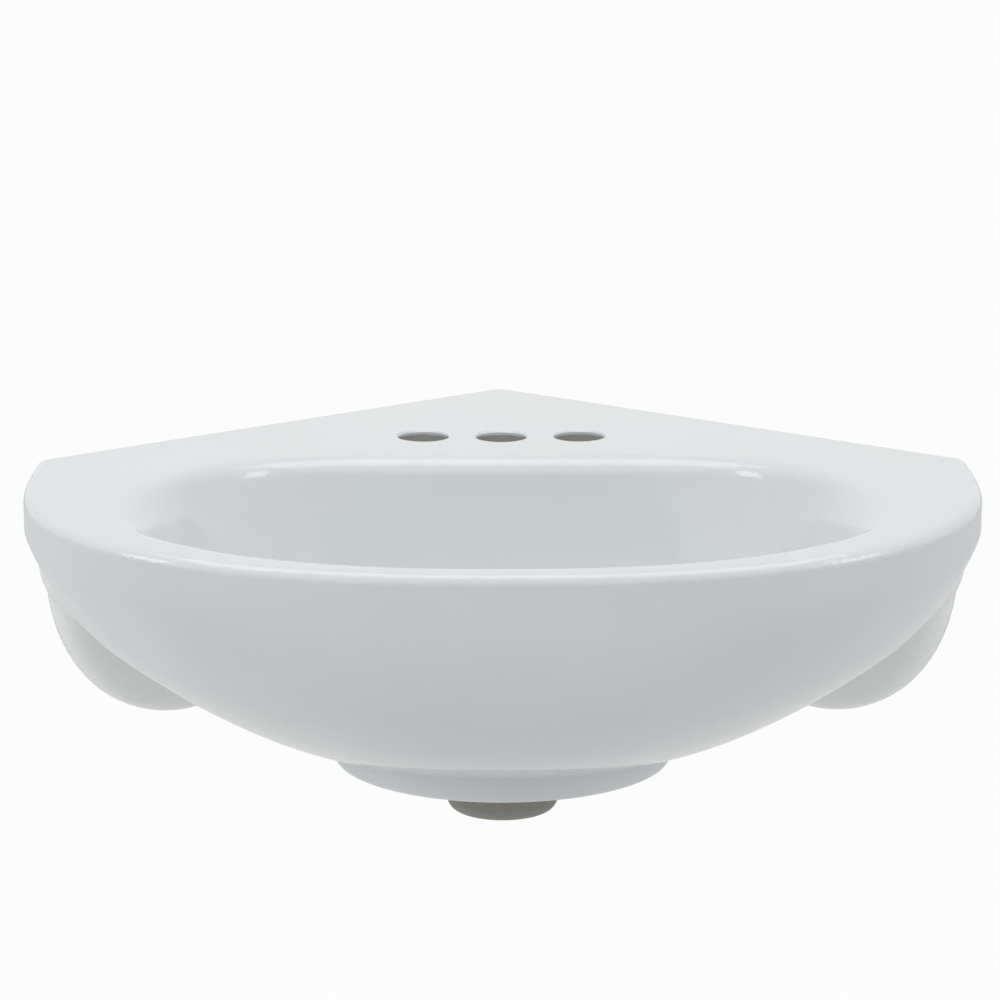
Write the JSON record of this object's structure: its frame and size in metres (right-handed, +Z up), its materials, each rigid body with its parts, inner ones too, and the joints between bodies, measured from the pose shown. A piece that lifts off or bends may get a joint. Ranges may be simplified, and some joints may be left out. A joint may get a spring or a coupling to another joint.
{
  "type": "wall-mounted corner sink",
  "caption": "Wall-hung corner basin in glazed china: sloping deck with tap holes, oval bowl with a rolled lip, back flanges and an outlet boss, hooked over steel wall hangers.",
  "frame": {"origin": "room corner at the level of the deck's wall edges", "axes": "+X to the right seen from the front, +Y into the corner, +Z up"},
  "size_m": [0.573, 0.4862, 0.217],
  "materials": {
    "china": "gloss white glaze",
    "hanger_steel": "galvanised",
    "zinc_steel": "zinc plated"
  },
  "bodies": {
    "wall_hangers": {"left_wall_hanger": "hanger_steel", "left_hanger_screw_1": "zinc_steel", "left_hanger_screw_2": "zinc_steel", "left_hanger_screw_3": "zinc_steel", "left_hanger_washer_1": "zinc_steel", "left_hanger_washer_2": "zinc_steel", "left_hanger_washer_3": "zinc_steel", "right_wall_hanger": "hanger_steel", "right_hanger_screw_1": "zinc_steel", "right_hanger_screw_2": "zinc_steel", "right_hanger_screw_3": "zinc_steel", "right_hanger_washer_1": "zinc_steel", "right_hanger_washer_2": "zinc_steel", "right_hanger_washer_3": "zinc_steel"},
    "basin_body": {"basin": "china"}
  },
  "joints": [
    {"name": "basin_lift", "type": "slide", "parent": "wall_hangers", "child": "basin_body", "axis": [0, 0, 1], "range_m": [0, 0.14]}
  ]
}
